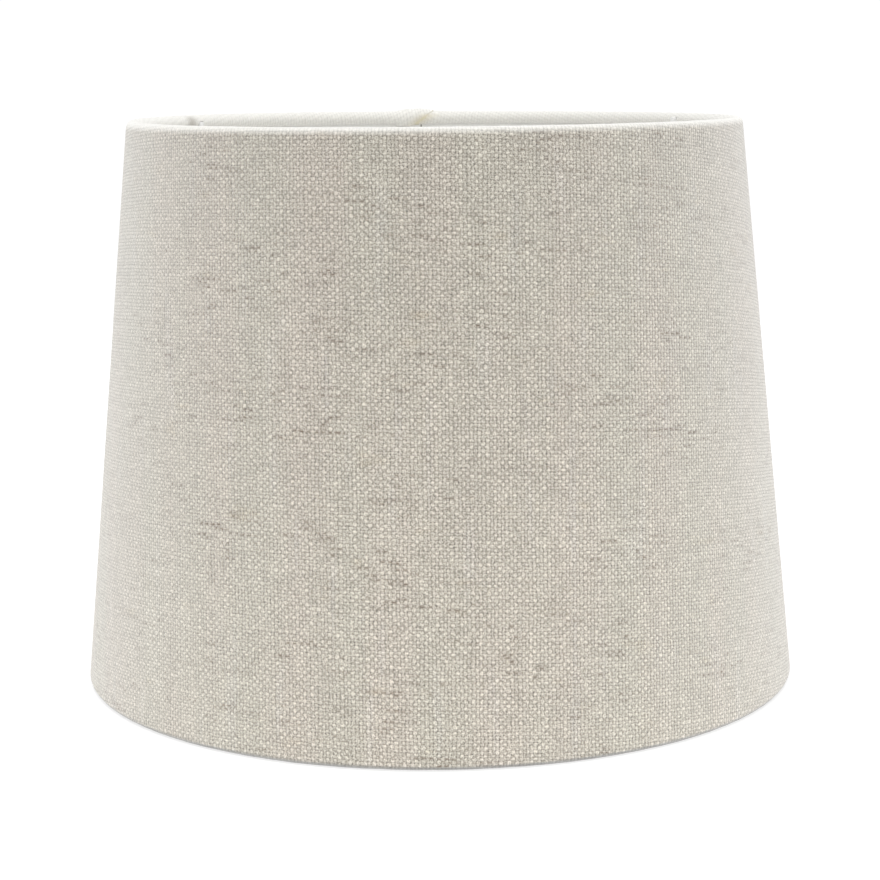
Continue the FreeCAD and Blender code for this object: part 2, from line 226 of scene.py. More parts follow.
def run_tree(piece, tree, **inputs):
    """Runs a tree on a piece and leaves the result as its plain mesh."""
    modifier = piece.modifiers.new(tree.name, "NODES")
    modifier.node_group = tree
    for item in tree.interface.items_tree:
        name = item.name.replace(" ", "_")
        if item.in_out == "INPUT" and name in inputs:
            modifier[item.identifier] = inputs[name]
    bpy.context.view_layer.update()
    seen = bpy.context.evaluated_depsgraph_get()
    mesh = bpy.data.meshes.new_from_object(
        piece.evaluated_get(seen), preserve_all_data_layers=True, depsgraph=seen
    )
    piece.modifiers.clear()
    piece.data = mesh
    mesh.name = piece.name
    mesh.shade_smooth()
    mesh.set_sharp_from_angle(angle=radians(50))
    print(f"{piece.name}: {len(mesh.vertices)} vertices, {len(mesh.polygons)} faces")
    return piece


def new_piece(name, mesh):
    piece = bpy.data.objects.new(name, mesh)
    scene.collection.objects.link(piece)
    return piece


wrapping_tree = make_wrapping_tree()


def wrap(piece, distance, finish):
    """Rolls a flat pattern round the rings, its middle at a distance from the rolls' centres."""
    return run_tree(
        piece,
        wrapping_tree,
        Top_Radius=top_roll[0],
        Top_Height=top_roll[1],
        Base_Radius=base_roll[0],
        Base_Height=base_roll[1],
        Roll_Radius=distance,
        Finish=finish,
    )


# %% [markdown]
# ## Finishes
# Each finish is a node material on the one Principled shader. Its plain numbers are set on the shader's
# own sockets; only what changes over the surface is linked. Noise is read in millimetres, so a scale in a
# finish can be checked against a ruler.

# %% Helpers for finishes
def paint(red, green, blue):
    """A colour from its three parts on the usual 0 to 255 scale."""
    shares = [part / 255 for part in (red, green, blue)]
    return (*[s / 12.92 if s <= 0.04045 else ((s + 0.055) / 1.055) ** 2.4 for s in shares], 1.0)


def new_finish(name, **sockets):
    """A material with its shader's plain numbers set."""
    finish = bpy.data.materials.new(name)
    finish.use_nodes = True
    shader = finish.node_tree.nodes["Principled BSDF"]
    for title, value in sockets.items():
        shader.inputs[title.replace("_", " ")].default_value = value
    return finish, finish.node_tree, shader.inputs


def noise(tree, x, y=0.0, layer=0.0, detail=0.0):
    """Smooth noise about zero, from -0.5 to 0.5, whose lumps are about one unit of x and y wide."""
    spot = place(tree, x, y, layer)
    node = add(tree, "ShaderNodeTexNoise", {"Vector": spot, "Scale": 1.0, "Detail": detail})
    return Value(tree, node.outputs["Fac"]) - 0.5


def chance(tree, x, y=0.0, layer=0.0):
    """A random number about zero for each whole x and y, from -0.5 to 0.5."""
    node = add(tree, "ShaderNodeTexWhiteNoise", {"Vector": place(tree, x, y, layer)})
    return Value(tree, node.outputs["Value"]) - 0.5


def blend_colour(tree, share, first, second, mode="MIX"):
    """The first colour, blended by a share into the second."""
    node = add(tree, "ShaderNodeMix", {0: share, 6: first, 7: second}, data_type="RGBA", blend_type=mode)
    return node.outputs[2]


def grey(tree, value):
    """A value as a grey colour."""
    return add(tree, "ShaderNodeCombineColor", {0: value, 1: value, 2: value}).outputs[0]


def relief(tree, height, depth):
    """A surface normal for a height from 0 to 1 that stands for a depth in metres."""
    node = add(tree, "ShaderNodeBump", {"Height": height, "Distance": depth, "Strength": 1.0})
    return node.outputs["Normal"]


def in_millimetres(tree):
    """Object coordinates in millimetres, as three values."""
    spot = add(tree, "ShaderNodeTexCoord").outputs["Object"]
    return [part * 1000.0 for part in parts(tree, spot)]


# %% [markdown]
# ### Linen
# Natural linen in a plain weave: upright warp yarns and level weft yarns go over and under each other by
# turns. The yarns are spun from uneven fibre, so their width wanders, some are fat, and short dark slubs
# and flecks of straw lie along them. The warp stands proud as pale beans, and the weft lies deeper and
# browner. Modelling every yarn would take millions of faces, so the cloth's surface is real geometry and
# the yarns are a height worked out from the pattern's own flat coordinates. The height gives relief and
# also
# colour: painted highlights on the crests, and painted shade on the flanks, in the pores and on the weft.

# %% The linen finish
WARP_PITCH = 1.19  # millimetres from yarn to yarn
WEFT_PITCH = 1.11
# The first colour is painted shade in the pores. The next two run from painted shade on a yarn's flanks to
# a painted highlight on its crest.
PORE_SHADE = paint(38, 31, 23)
YARN_FLANK_SHADE = paint(132, 125, 112)
YARN_CREST_HIGHLIGHT = paint(203, 197, 186)
STRAW = paint(84, 61, 30)
# A painted highlight that pales the rolls.
ROLL_HIGHLIGHT = paint(230, 229, 224)
GLUE_STAIN = paint(206, 195, 164)
# A painted shadow for the dark beside an arm's slit.
ARM_SLIT_SHADOW = paint(150, 143, 132)
# A painted contact shadow under the bottom rim.
UNDERSIDE_SHADOW = paint(84, 84, 84)


def yarn(tree, across, width):
    """The height of a round yarn, from 1 on its middle to 0 at its sides."""
    side = (across / width) * 2.0
    return (1.0 - side * side).at_least(0.0).math("SQRT")


def make_linen():
    finish, tree, shader = new_finish(
        "natural linen", Roughness=0.92, Specular_IOR_Level=0.2, Sheen_Weight=0.7, Sheen_Roughness=0.7
    )
    shader["Sheen Tint"].default_value = (1.0, 1.0, 0.99, 1.0)
    flat = add(tree, "ShaderNodeUVMap", uv_map="weave").outputs[0]
    x, y, _ = parts(tree, flat)

    # The yarns' places: uneven widths, a slow wander, and a little crowding from yarn to yarn.
    crowd_x = noise(tree, x * 0.75, y * 0.75, 15.0) * 0.4
    crowd_y = noise(tree, x * 0.75, y * 0.75, 17.0) * 0.4
    warp_place = x + noise(tree, x * 0.42) * 0.75 + noise(tree, x * 0.12, y * 0.1, 3.0) * 0.6 + crowd_x
    bow = noise(tree, x * 0.06, y * 0.3, 5.0) * 0.5
    weft_place = y + noise(tree, y * 0.45, 0.0, 7.0) * 0.5 + bow + crowd_y
    warp_place = warp_place / WARP_PITCH
    weft_place = weft_place / WEFT_PITCH
    warp = warp_place.math("FLOOR")
    weft = weft_place.math("FLOOR")
    from_warp = warp_place - warp - 0.5
    from_weft = weft_place - weft - 0.5
    over = ((warp + weft) * 0.5).math("FRACT") * 4.0 - 1.0

    bean = chance(tree, warp, weft, 2.0)
    fat_warp = noise(tree, warp * 7.31, y * 0.07, 11.0) * 0.3 + bean * 0.12 + 0.96
    fat_weft = noise(tree, x * 0.11, weft * 5.17, 13.0) * 0.3 - bean * 0.1 + 1.1
    warp_height = yarn(tree, from_warp, fat_warp) * 0.5 + over * (from_weft * pi).math("COSINE") * 0.42
    weft_height = yarn(tree, from_weft, fat_weft) * 0.48 - over * (from_warp * pi).math("COSINE") * 0.36
    height = warp_height.at_least(weft_height)
    warp_on_top = (warp_height - weft_height).between(-0.06, 0.06)

    # What lies along the yarns: fibres, uneven shades, and dashes of brown straw that gather in patches.
    fibre = noise(tree, x * 2.6, y * 1.7, 31.0, 1.0) * warp_on_top
    fibre = fibre + noise(tree, x * 1.7, y * 2.6, 33.0, 1.0) * (1.0 - warp_on_top)
    warp_shade = chance(tree, warp, 0.0, 4.0) * 0.08 + noise(tree, warp * 3.7, y * 0.04, 6.0) * 0.22
    weft_shade = chance(tree, 0.0, weft, 5.0) * 0.05 + noise(tree, x * 0.10, weft * 4.3, 8.0, 1.0) * 0.37
    dash = noise(tree, x * 0.11, weft * 5.9, 51.0, 2.0).between(0.04, 0.17)
    dash = dash * noise(tree, x * 0.03, y * 0.05, 53.0, 1.0).between(-0.16, 0.2)

    # From height to colour: a painted highlight on the yarns' crests and painted shade on their flanks,
    # then painted shade in the dark pores where four yarns meet.
    lit = height + bean * 0.12 + fibre * 2.8
    colour = blend_colour(tree, lit.between(0.1, 1.2), YARN_FLANK_SHADE, YARN_CREST_HIGHLIGHT)
    # The weft lies deeper, so it is painted darker as painted shade, and a touch browner as its own colour.
    weft_depth_shade = blend_colour(tree, warp_on_top, (0.87, 0.86, 0.84, 1.0), (1.08, 1.08, 1.08, 1.0))
    colour = blend_colour(tree, 1.0, colour, weft_depth_shade, "MULTIPLY")
    near_warp = (warp_place + 0.5).math("FLOOR")
    near_weft = (weft_place + 0.5).math("FLOOR")
    deep = chance(tree, near_warp, near_weft, 55.0) * 1.2 + noise(tree, x * 0.3, y * 0.7, 57.0, 1.0) * 0.5
    pore_shade = 1.0 - (height + fibre * 0.5 - deep * 0.12).between(0.06, 0.4)
    colour = blend_colour(tree, pore_shade * (1.7 + deep + dash * 1.2), colour, PORE_SHADE)

    # A dash is a thin brown strand that wanders within its weft yarn, with a faint stain round it.
    lane = noise(tree, x * 0.22, weft * 3.1, 52.0, 1.0) * 0.9
    strand = 1.0 - (from_weft - lane).math("ABSOLUTE").between(0.1, 0.26)
    streak = dash * (strand * (0.8 - warp_on_top * 0.5) + 0.15)
    colour = blend_colour(tree, streak, colour, STRAW)

    # Slow changes over the cloth: cool and rosy bands, rusty patches, clouds, and a painted shade that
    # makes it a touch darker upwards, standing in for more light on the lower wall.
    pinkish = noise(tree, x * 0.06, y * 0.006, 41.0, 1.0).between(-0.2, 0.2)
    tint = blend_colour(tree, pinkish, (0.99, 1.0, 0.984, 1.0), (1.016, 0.995, 0.99, 1.0))
    colour = blend_colour(tree, 1.0, colour, tint, "MULTIPLY")
    cool = noise(tree, x * 0.2, y * 0.02, 42.0, 1.0).between(0.08, 0.22)
    colour = blend_colour(tree, cool, colour, (1.02, 1.03, 1.06, 1.0), "MULTIPLY")
    rust = noise(tree, x * 0.07, y * 0.16, 44.0, 2.0).between(0.12, 0.3)
    colour = blend_colour(tree, rust, colour, (0.95, 0.92, 0.86, 1.0), "MULTIPLY")
    cloudy = noise(tree, x * 0.035, y * 0.03, 43.0, 2.0) * 0.13
    shade = 1.0 + bean * 0.1 + warp_shade * warp_on_top + weft_shade * (1.0 - warp_on_top) + cloudy
    # Painted shade: the cloth darkens upwards.
    shade = shade - y * 0.0012
    colour = blend_colour(tree, 1.0, colour, grey(tree, shade), "MULTIPLY")

    # The rolls are painted paler and flatter, a painted highlight for the light on the rims and in the
    # turns, and the cloth yellows with glue at the seam. Beside one arm's slit the cloth is painted darker,
    # a painted shadow, and the underside is painted dark, a painted contact shadow where the shade stands.
    for attribute, share, tone in (
        ("turned_in", height * 0.2 + 0.66, ROLL_HIGHLIGHT), ("stained", 0.6, GLUE_STAIN),
        ("arm_slit_shadow", 0.8, ARM_SLIT_SHADOW), ("underside_shadow", 0.85, UNDERSIDE_SHADOW),
    ):
        mark = add(tree, "ShaderNodeAttribute", attribute_name=attribute).outputs["Fac"]
        colour = blend_colour(tree, Value(tree, mark) * share, colour, tone)
    plug(tree, colour, shader["Base Color"])
    plug(tree, relief(tree, height * 0.6 + fibre * 0.25, 0.4 * MM), shader["Normal"])
    return finish


linen_finish = make_linen()
print("linen:", len(linen_finish.node_tree.nodes), "nodes")

# %% [markdown]
# ### Powder coat, welds, liner and glue
# The wires are mild steel under white powder coat, which flows in the oven into a faint orange peel. The
# liner is a translucent white sheet: the linen glued behind it prints through as a faint mottle. The tape
# under the lap yellows with age.

# %% The other finishes
LINER_REACH = 115.0  # millimetres from the axis, at mid height


def make_powder_coat(name, colour, peel, roughness):
    """White coat with orange peel of a given depth in metres."""
    finish, tree, shader = new_finish(name, Specular_IOR_Level=0.5, Coat_Weight=0.08)
    x, y, z = in_millimetres(tree)
    spot = place(tree, x, y, z)
    lumps = add(tree, "ShaderNodeTexNoise", {"Vector": spot, "Scale": 1.1, "Detail": 2.0}).outputs["Fac"]
    patches = add(tree, "ShaderNodeTexNoise", {"Vector": spot, "Scale": 0.12, "Detail": 3.0}).outputs["Fac"]
    thin = Value(tree, patches).between(0.35, 0.7)
    darker = [part * 0.94 for part in colour[:3]] + [1.0]
    plug(tree, blend_colour(tree, thin, darker, colour), shader["Base Color"])
    plug(tree, Value(tree, patches) * 0.18 + roughness, shader["Roughness"])
    plug(tree, relief(tree, lumps, peel), shader["Normal"])
    return finish


def make_slit_shadow_ring_finish():
    """The same coat, painted dark grey and rougher from each arm to a few degrees past it, a painted shadow
    for the dark inside the cloth's slit there.
    """
    finish, tree, shader = new_finish("coated ring", Specular_IOR_Level=0.5, Coat_Weight=0.08)
    x, y, z = in_millimetres(tree)
    azimuth = y.math("ARCTAN2", x) * (180 / pi)
    arm_step = 360.0 / len(ARMS)
    third = ((azimuth + (360.0 - ARMS[0] + 60.0)) / arm_step).math("FRACT") * arm_step - 62.5
    rough_edge = noise(tree, x * 0.9, y * 0.9 + z * 0.7, 2.0, 2.0)
    # Painted shadow just past each arm, where the ring shows in the cloth's slit.
    ring_slit_shadow = 1.0 - (third.math("ABSOLUTE") + rough_edge * 2.0).between(2.6, 3.8)
    plug(tree, blend_colour(tree, ring_slit_shadow, paint(236, 236, 234), paint(146, 138, 126)), shader["Base Color"])
    plug(tree, ring_slit_shadow * 0.3 + 0.38, shader["Roughness"])
    plug(tree, relief(tree, rough_edge * 0.5 + 0.5, 0.06 * MM), shader["Normal"])
    return finish


def make_liner():
    """The stiff sheet inside: satin, off-white, with the linen showing through a little."""
    finish, tree, shader = new_finish("liner sheet", Specular_IOR_Level=0.45, Subsurface_Weight=0.05)
    x, y, z = in_millimetres(tree)
    around = y.math("ARCTAN2", x) * LINER_REACH
    ghost = noise(tree, around * 0.8, z * 0.9, 1.0) + noise(tree, around * 0.1, z * 1.6, 2.0, 1.0)
    cloud = noise(tree, around * 0.03, z * 0.04, 3.0, 2.0)
    share = (ghost * 0.5 + cloud * 0.9).between(-0.5, 0.5)
    plug(tree, blend_colour(tree, share, paint(238, 237, 233), paint(251, 250, 247)), shader["Base Color"])
    plug(tree, cloud * 0.2 + 0.42, shader["Roughness"])
    ripple = noise(tree, around * 0.08, z * 0.05, 5.0, 1.0) * 0.9 + ghost * 0.04 + 0.5
    plug(tree, relief(tree, ripple, 0.5 * MM), shader["Normal"])
    return finish


def make_tape_finish():
    """Double-sided tape, gone the colour of straw."""
    finish, tree, shader = new_finish("aged tape", Specular_IOR_Level=0.4)
    x, y, z = in_millimetres(tree)
    blot = noise(tree, x * 0.5, y * 0.5 + z * 0.35, 1.0, 2.0)
    share = blot.between(-0.3, 0.3)
    plug(tree, blend_colour(tree, share, paint(204, 196, 168), paint(216, 210, 188)), shader["Base Color"])
    plug(tree, blot * 0.3 + 0.5, shader["Roughness"])
    plug(tree, relief(tree, blot, 0.1 * MM), shader["Normal"])
    return finish


ring_finish = make_powder_coat("white powder coat", paint(226, 226, 224), 0.03 * MM, 0.32)
slit_shadow_ring_finish = make_slit_shadow_ring_finish()
weld_finish = make_powder_coat("coated weld", paint(231, 230, 226), 0.08 * MM, 0.42)
plate_finish = make_powder_coat("coated plate", paint(226, 226, 224), 0.04 * MM, 0.36)
liner_finish = make_liner()
tape_finish = make_tape_finish()
print("finishes:", [finish.name for finish in bpy.data.materials])

# %% [markdown]
# ## The cover's flat pattern
# The linen is one strip, a little longer than the way round, so that its first end laps over its last.
# It could be drawn as a plain grid, but a maker also snips it where an arm passes the roll, and no two
# edges lie quite straight. So the grid's columns are moved where the cloth is cut: two neighbouring
# columns part to open a slit, and the first columns slant where the lap goes over the rim.

# %% The rows and columns of the pattern
SEAM = 90.0  # degrees, as are the next seven
LAP = 6.0
ROLL_END = 285.0
COLUMN_STEP = 0.9
LAP_STEP = 0.5
LAP_SPAN = 10
SLIT_SIDES = (0.68, 0.38)
SLIT_FADE = 8.2
rolled = (radians(ROLL_END) - lean) * roll
first_azimuth, last_azimuth = SEAM, SEAM + 360 + LAP

rows = np.concatenate([
    np.linspace(-rolled, 0, 17)[:-1],
    np.array([0, 0.35, 0.7, 1.1]) * MM,
    np.linspace(0, wall, 25)[1:],
    np.linspace(wall, wall + rolled, 17)[1:],
])


def slit_sides(arm):
    """Where the two sides of a slit start, before it opens: the near one lies against the arm."""
    arm = arm if arm > SEAM + LAP else arm + 360
    return arm - SLIT_SIDES[0], arm - SLIT_SIDES[1]


def make_columns():
    """Azimuths in degrees: even, but closer at the lap and at each slit."""
    even = np.arange(first_azimuth + LAP_SPAN, last_azimuth, COLUMN_STEP)
    lapped = np.arange(first_azimuth, first_azimuth + LAP_SPAN, LAP_STEP)
    close = [lapped, [180.0, 360.0, 450.0, last_azimuth]]
    for arm in ARMS:
        near, far = slit_sides(arm)
        even = even[(even < near - 2.6) | (even > far + SLIT_FADE)]
        close += [near - np.array([2.4, 1.6, 0.9, 0.4, 0.0]), far + np.arange(0, 8.3, 0.55)]
    fixed = np.concatenate(close)
    even = [azimuth for azimuth in even if np.abs(fixed - azimuth).min() > 0.3]
    return np.unique(np.round(np.concatenate([fixed, even]), 4))


columns = make_columns()
print(f"pattern: {len(columns)} columns by {len(rows)} rows")

# %% [markdown]
# ### Uneven cloth
# Smooth sums of sines with fixed phases give the slow unevenness of hand work: they are the same on every
# run and need no random draws. The cloth only ever lifts off the sheet behind it, never into it.

# %% How the cloth lifts, slants and opens
def wander(position, lengths, phases):
    """A smooth wandering value, from about -1 to 1."""
    waves = [np.sin(2 * pi * position / length + phase) for length, phase in zip(lengths, phases)]
    return sum(waves) / len(waves)


def smooth_step(value, low, high):
    share = np.clip((value - low) / (high - low), 0, 1)
    return share * share * (3 - 2 * share)


def past_wall(along):
    """How far round a roll a place is, in degrees: 0 on the wall."""
    return np.degrees((np.clip(-along, 0, None) + np.clip(along - wall, 0, None)) / roll)


SLIT_TOP = 156.0  # degrees round the roll
SWINGS = (1.0, 3.0, 2.4)  # degrees that each slit opens


def make_cloth_grid():
    """The azimuth, the place along the section, and the lift of every point, and which faces exist."""
    azimuth, along = np.meshgrid(columns, rows, indexing="ij")
    base = azimuth.copy()
    on_top = np.clip(-along / rolled, 0, 1)
    on_base = np.clip((along - wall) / rolled, 0, 1)
    round_roll = degrees(lean) + np.degrees(np.clip(-along, 0, None) / roll)

    # The lap's free edge slants as it goes over the top rim and in.
    slant = 0.3 + 4.0 * smooth_step(round_roll, 105, 235) + 1.5 * on_base
    azimuth += slant * np.clip(1 - (base - SEAM) / 9.5, 0, 1)

    # A slit: its far side swings away from the arm.
    exists = np.ones((len(columns) - 1, len(rows) - 1), bool)
    middle_row = (rows[:-1] + rows[1:]) / 2
    slit_top = -(radians(SLIT_TOP) - lean) * roll
    for index, arm in enumerate(ARMS):
        near, far = slit_sides(arm)
        opened = np.clip((slit_top - along) / (rolled + slit_top), 0, 1) ** 0.5
        swing = SWINGS[index] * opened * np.clip(1 - (base - far) / SLIT_FADE, 0, 1)
        azimuth += np.where(base > far - 0.01, swing, 0)
        gap = int(np.argmin(np.abs(columns - near)))
        exists[gap] &= middle_row > slit_top

    # Under the bottom rim the lower layer is trimmed away, so that the shade stands level.
    exists &= ~((columns[:-1, None] >= last_azimuth - LAP - 0.01) & (middle_row[None] > wall))

    # The turned-in edges are cut by hand, so they wander.
    edge = wander(base, (7.0, 17.0, 41.0), (0.3, 1.9, 4.0)) * 0.035
    along = np.where(along < 0, along * (1 + edge * on_top), along)
    along = np.where(along > wall, wall + (along - wall) * (1 + edge * on_base), along)

    # Lifts in millimetres: ripples, lumps in the rolls, slack at the back left, and the lap over its tape.
    ripple = wander(base, (9.0, 23.0, 47.0), (0.0, 1.1, 2.3)) * wander(along, (0.05, 0.13), (0.7, 2.9))
    roll_lumps = wander(base, (3.7, 8.3, 19.0), (1.0, 2.0, 0.4)) * np.clip(on_top + on_base, 0, 0.25) * 4
    lift = 0.05 + 0.05 * ripple + 0.05 * (1 + roll_lumps) * (on_top + on_base > 0)
    from_seam = (base - SEAM + 180) % 360 - 180
    slack = np.exp(-((((base - 150 + 180) % 360 - 180) / 60) ** 2))
    lift += slack * smooth_step(round_roll, 20, 80) * (1 - smooth_step(round_roll, 150, 240))
    lump = 0.4 * np.exp(-((from_seam - 2.5) / 4.4) ** 2)
    lift += lump * smooth_step(-along, -2 * MM, 1.5 * MM) * (1 - 0.5 * smooth_step(round_roll, 180, 280))
    lapped = 0.75 * (1 - smooth_step(base, SEAM + LAP + 0.2, SEAM + LAP + 2.6))
    lift += lapped * (1 - smooth_step(along, wall, wall + 2.4 * MM))

    # The lap's free edge is pressed thin where it goes over the rim.
    pressed = 0.7 * (1 - smooth_step(base, SEAM, SEAM + 3.5)) * smooth_step(round_roll, 30, 80)
    thickness = LINEN * (1 - pressed)
    return np.radians(azimuth), along, lift * MM - (LINEN - thickness) / 2, thickness, exists


azimuths, alongs, lifts, thicknesses, exists = make_cloth_grid()
print(f"the cloth lifts by {lifts.min() / MM:.2f} to {lifts.max() / MM:.2f} mm")

# %% [markdown]
# ### From a grid to a closed cloth
# A single sheet with a Solidify modifier would do, but the rim of the cloth must close at every cut, and
# the two map layers must know which face is which. So both layers are made here, and wherever an edge has
# a face on one side only, a strip closes the gap between the layers.

# %% The two-layer sheet
def two_layers(azimuth, along, lift, thickness, exists):
    """Vertices and faces of a closed sheet, in the pattern's own coordinates."""
    numbers = np.arange(azimuth.size).reshape(azimuth.shape)
    middle = [azimuth.ravel(), along.ravel()]
    outer = np.stack([*middle, (lift + thickness / 2).ravel()], axis=1)
    inner = np.stack([*middle, (lift - thickness / 2).ravel()], axis=1)
    i, j = np.nonzero(exists)
    quads = np.stack([numbers[i, j], numbers[i, j + 1], numbers[i + 1, j + 1], numbers[i + 1, j]], axis=1)

    edges = np.concatenate([quads[:, [k, (k + 1) % 4]] for k in range(4)])
    keys = edges[:, 0] * azimuth.size + edges[:, 1]
    back_keys = edges[:, 1] * azimuth.size + edges[:, 0]
    p, q = edges[~np.isin(keys, back_keys)].T
    behind = azimuth.size
    strips = np.stack([q, p, p + behind, q + behind], axis=1)
    return np.concatenate([outer, inner]), quads, quads[:, ::-1] + behind, strips


def cloth_marks(azimuth, along):
    """How strongly each point gets the rolls' painted highlight, the seam's glue stain, the painted shadow
    beside an arm's slit and the painted contact shadow under the rim, from 0 to 1.
    """
    past_top = past_wall(np.clip(along, None, 0))
    past_base = past_wall(np.clip(along, wall, None))
    azimuth = np.degrees(azimuth)
    from_edge = (azimuth - SEAM + 180) % 360 - 180 - 4 * smooth_step(past_top, 100, 230)
    from_slit_shadow = (azimuth - ARMS[1] - 3.2 + 180) % 360 - 180
    roll_lit = smooth_step(past_wall(np.clip(along - 0.7 * MM, None, 0)), 3, 84)
    return {
        "turned_in": np.maximum(roll_lit, smooth_step(past_base, 70, 110)),
        "stained": np.exp(-((from_edge / 1.8) ** 2)) * smooth_step(past_top, 125, 160),
        "arm_slit_shadow": np.exp(-((from_slit_shadow / 1.6) ** 2)) * smooth_step(past_top, 90, 150),
        "underside_shadow": smooth_step(past_base, 14, 44) * (1 - smooth_step(past_base, 70, 110)),
    }


def build_sheet(name, azimuth, along, lift, thickness, exists):
    """A new piece with the flat pattern, and the place of each face corner on the pattern."""
    vertices, outer, inner, strips = two_layers(azimuth, along, lift, thickness, exists)
    faces = np.concatenate([outer, inner, strips])
    used, faces = np.unique(faces, return_inverse=True)
    faces = faces.reshape(-1, 4)
    mesh = bpy.data.meshes.new(name)
    mesh.from_pydata(vertices[used].tolist(), [], faces.tolist())
    for title, values in cloth_marks(*vertices[used][:, :2].T).items():
        mesh.attributes.new(title, "FLOAT", "POINT").data.foreach_set("value", values)
    corners = vertices[used][faces.ravel()]
    is_outer = np.repeat(np.arange(len(faces)) < len(outer), 4)
    first_half = np.repeat(np.degrees(vertices[used][faces, 0].mean(axis=1)), 4)
    return new_piece(name, mesh), corners, is_outer, first_half


def add_map(piece, name, across, up):
    layer = piece.data.uv_layers.new(name=name)
    layer.uv.foreach_set("vector", np.stack([across, up], axis=1).astype(np.float32).ravel())


# %% [markdown]
# ### Two maps on the cloth
# The weave follows the flat pattern of a cone, a sector of a ring, because the cloth was cut flat: the
# yarns stand upright at the front and tilt towards the seam. The cut is a touch off the grain, as on the
# real thing. The second map only packs the cloth into a square: the outer face folds into two rows, and
# the hidden inner face goes small beside them.

# %% The cover
OFF_GRAIN = 0.033


def flat_pattern(azimuth, along):
    """Millimetres on the flat sector, from the azimuth in radians and the place along the section."""
    top_reach = (top_roll[0] + roll * cos(lean)) / sin(lean)
    turn = (azimuth - radians(270)) * sin(lean)
    x = (top_reach + along) * np.sin(turn)
    y = (top_reach + wall / 2) - (top_reach + along) * np.cos(turn)
    return x / MM, (y + OFF_GRAIN * x) / MM


def packed_square(azimuth, along, is_outer, middle):
    """The cloth folded into a square from 0 to 1."""
    radius = (top_roll[0] + base_roll[0]) / 2
    degree = radians(1) * radius
    height = wall + 2 * rolled
    side = 2 * height + 6 * MM
    azimuth = np.degrees(azimuth)
    front = (middle > 180) & (middle < 360)
    late = middle > 360
    across = np.where(front, azimuth - 180, np.where(late, azimuth - 360, azimuth - SEAM + 98)) * degree
    up = along + rolled + np.where(front, 1 * MM, height + 4 * MM)
    small_across = 380 * MM + (along + rolled) * 0.15
    small_up = 2 * MM + (azimuth - SEAM) * degree * 0.15
    across = np.where(is_outer, across + 1 * MM, small_across)
    return across / side, np.where(is_outer, up, small_up) / side


cover, corners, is_outer, middle = build_sheet("linen_cover", azimuths, alongs, lifts, thicknesses, exists)
add_map(cover, "weave", *flat_pattern(corners[:, 0], corners[:, 1]))
add_map(cover, "OFBake", *packed_square(corners[:, 0], corners[:, 1], is_outer, middle))
wrap(cover, roll, linen_finish)
print("cover maps:", [layer.name for layer in cover.data.uv_layers])

# %% [markdown]
# ## Tape in the lap
# The lap is held by a strip of double-sided tape. It is as thin as paper and lies wholly between the two
# layers, but on the roll it shows beside the slanting edge as a straw-coloured line.

# %% The seam tape
TAPE_SPAN = 4.6  # degrees


def make_tape():
    """A narrow sheet from the same pattern, following the lap's free edge."""
    picked = [index for index, azimuth in enumerate(columns) if azimuth < SEAM + TAPE_SPAN]
    keep_rows = rows < wall + 0.1 * MM
    azimuth = azimuths[picked][:, keep_rows].copy()
    along = alongs[picked][:, keep_rows]
    round_roll = degrees(lean) + np.degrees(np.clip(-along, 0, None) / roll)
    peek = 0.06 + 0.8 * smooth_step(round_roll, 150, 185)
    share = np.linspace(1, 0, len(picked))[:, None]
    azimuth -= np.radians(peek) * share
    lift = (lifts - thicknesses / 2)[picked][:, keep_rows] - TAPE / 2
    faces = np.ones((azimuth.shape[0] - 1, azimuth.shape[1] - 1), bool)
    piece = build_sheet("lap_tape", azimuth, along, lift, TAPE, faces)[0]
    return wrap(piece, roll, tape_finish)


tape = make_tape()

# %% [markdown]
# ## Arms
# Each arm is one bent wire: a leg welded inside the top ring, a round bend, and a run in to the fitter
# ring. The path is a few points with a radius at each, so that both cut ends come out rounded under their
# coat. One tree turns such a path into wire and turns it to its azimuth, and runs once for each arm.

# %% The arm tree
def make_arm_tree():
    tree, given = new_tree("bend a coated wire", Wire="Float", Azimuth="Float", Finish="Material")
    path = add(tree, "GeometryNodeMeshToCurve", {"Mesh": given["Geometry"]})
    share = add(tree, "GeometryNodeInputNamedAttribute", {"Name": "share"}, data_type="FLOAT")
    sized = add(
        tree, "GeometryNodeSetCurveRadius", {"Curve": path.outputs[0], "Radius": share.outputs["Attribute"]}
    )
    radius = Value(tree, given["Wire"]) / 2.0
    section = add(tree, "GeometryNodeCurvePrimitiveCircle", {"Resolution": 20, "Radius": radius})
    shape = {"Curve": sized.outputs[0], "Profile Curve": section.outputs[0]}
    swept = add(tree, "GeometryNodeCurveToMesh", {**shape, "Scale": share.outputs["Attribute"]})
    swept.inputs["Fill Caps"].default_value = True
    turn = place(tree, 0.0, 0.0, given["Azimuth"])
    turned = add(tree, "GeometryNodeTransform", {"Geometry": swept.outputs[0], "Rotation": turn})
    end_tree(tree, turned.outputs[0], given["Finish"])
    return tree


arm_tree = make_arm_tree()

# %% The arms
leg_radius = top_ring_radius - ring_wire / 2 - ARM_WIRE / 2 - WELD_GAP
leg_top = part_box("spider_arm_1")[1][2]
run_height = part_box("spider_arm_1")[0][2] + ARM_WIRE / 2
fitter_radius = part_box("fitter_ring")[1][0]
run_end = fitter_radius + WELD_GAP
CUT_ROUNDING = 0.35 * MM


